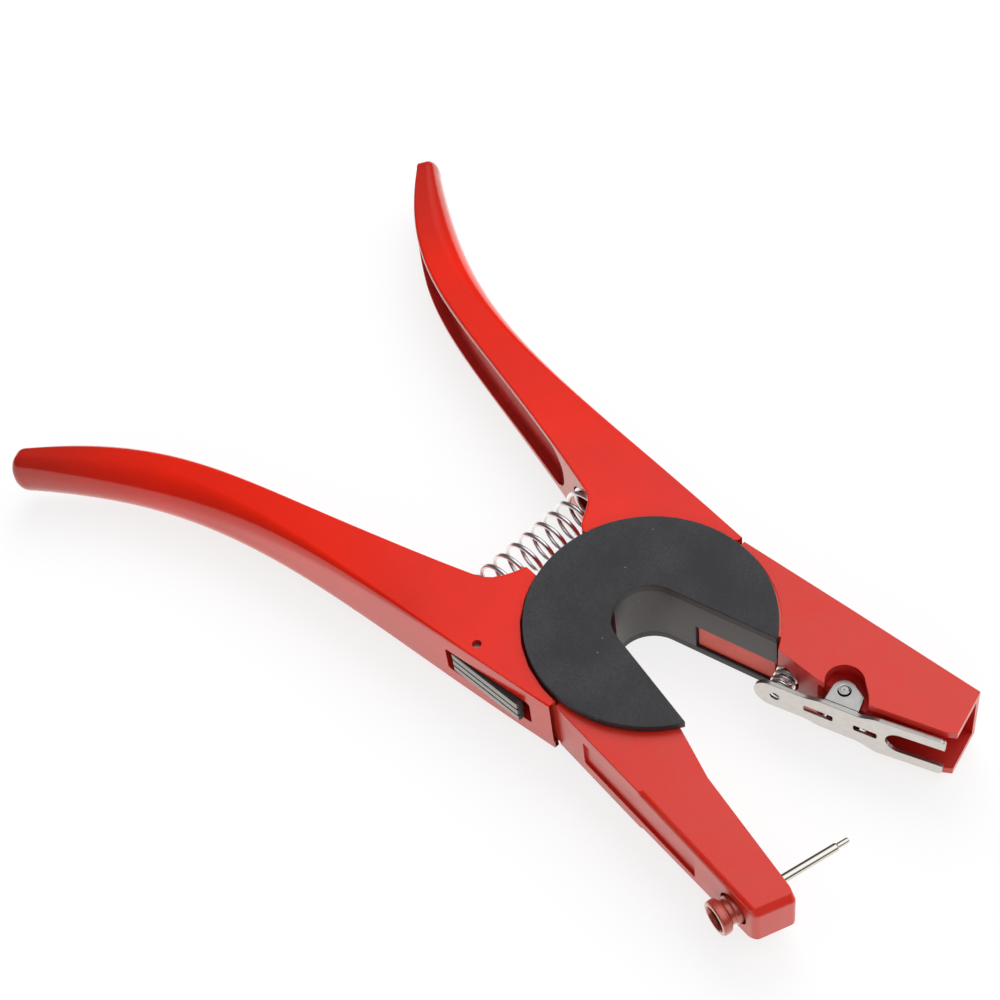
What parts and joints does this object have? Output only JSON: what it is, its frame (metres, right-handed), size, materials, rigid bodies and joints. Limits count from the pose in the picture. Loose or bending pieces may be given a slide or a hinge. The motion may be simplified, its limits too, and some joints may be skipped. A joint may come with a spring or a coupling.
{
  "type": "ear tag pliers",
  "caption": "Livestock ear tag applicator: red cast levers crossing under a black C-shaped head, with an applicator pin facing a sprung steel tag clip, a return spring and a lock rocker.",
  "frame": {"origin": "on the pivot axis of the two levers, at the back face of the rear head plate", "axes": "+X along the tool from the pivot towards the jaws, +Y across towards the clip jaw, +Z through the thickness towards the front head plate"},
  "size_m": [0.2645, 0.173, 0.024],
  "materials": {
    "red_casting": "gloss red enamel",
    "red_screw": "red enamel",
    "head_plastic": "fine matt grain",
    "clip_steel": "bright nickel",
    "pin_steel": "polished",
    "spring_steel": "bright zinc",
    "fastener_steel": "zinc",
    "bush_brass": "turned"
  },
  "bodies": {
    "clip_lever": {"clip_lever": "red_casting", "front_plate": "head_plastic", "rear_plate": "head_plastic", "throat_liner": "head_plastic", "plate_screws": "fastener_steel", "pivot_pin": "fastener_steel", "lap_washer": "fastener_steel", "cap_washer": "fastener_steel", "pivot_ring": "fastener_steel", "return_spring": "spring_steel", "lock_pin": "fastener_steel", "lock_spring": "spring_steel", "clip_pin": "fastener_steel", "clip_spring": "spring_steel"},
    "pin_lever": {"pin_lever": "red_casting", "pivot_bush": "bush_brass", "applicator_pin": "pin_steel", "pin_screw": "red_screw"},
    "tag_clip": {"tag_clip": "clip_steel"},
    "lock_lever": {"lock_lever": "head_plastic"}
  },
  "joints": [
    {"name": "pivot", "type": "hinge", "parent": "clip_lever", "child": "pin_lever", "pos_m": [0, 0, 0.012], "axis": [0, 0, 1], "range_deg": [0, 28], "stiffness_Nm_per_rad": 0.6, "springref_deg": -28.65, "deforming": ["return_spring"]},
    {"name": "clip_hinge", "type": "hinge", "parent": "clip_lever", "child": "tag_clip", "pos_m": [0.072, 0.02, 0.012], "axis": [0, 0, 1], "range_deg": [-10, 0], "stiffness_Nm_per_rad": 0.02, "springref_deg": 17.19, "deforming": ["clip_spring"]},
    {"name": "lock_hinge", "type": "hinge", "parent": "clip_lever", "child": "lock_lever", "pos_m": [-0.00701, -0.03626, 0.012], "axis": [0, 0, 1], "range_deg": [0, 4], "stiffness_Nm_per_rad": 0.003, "springref_deg": -17.19, "deforming": ["lock_spring"]}
  ]
}
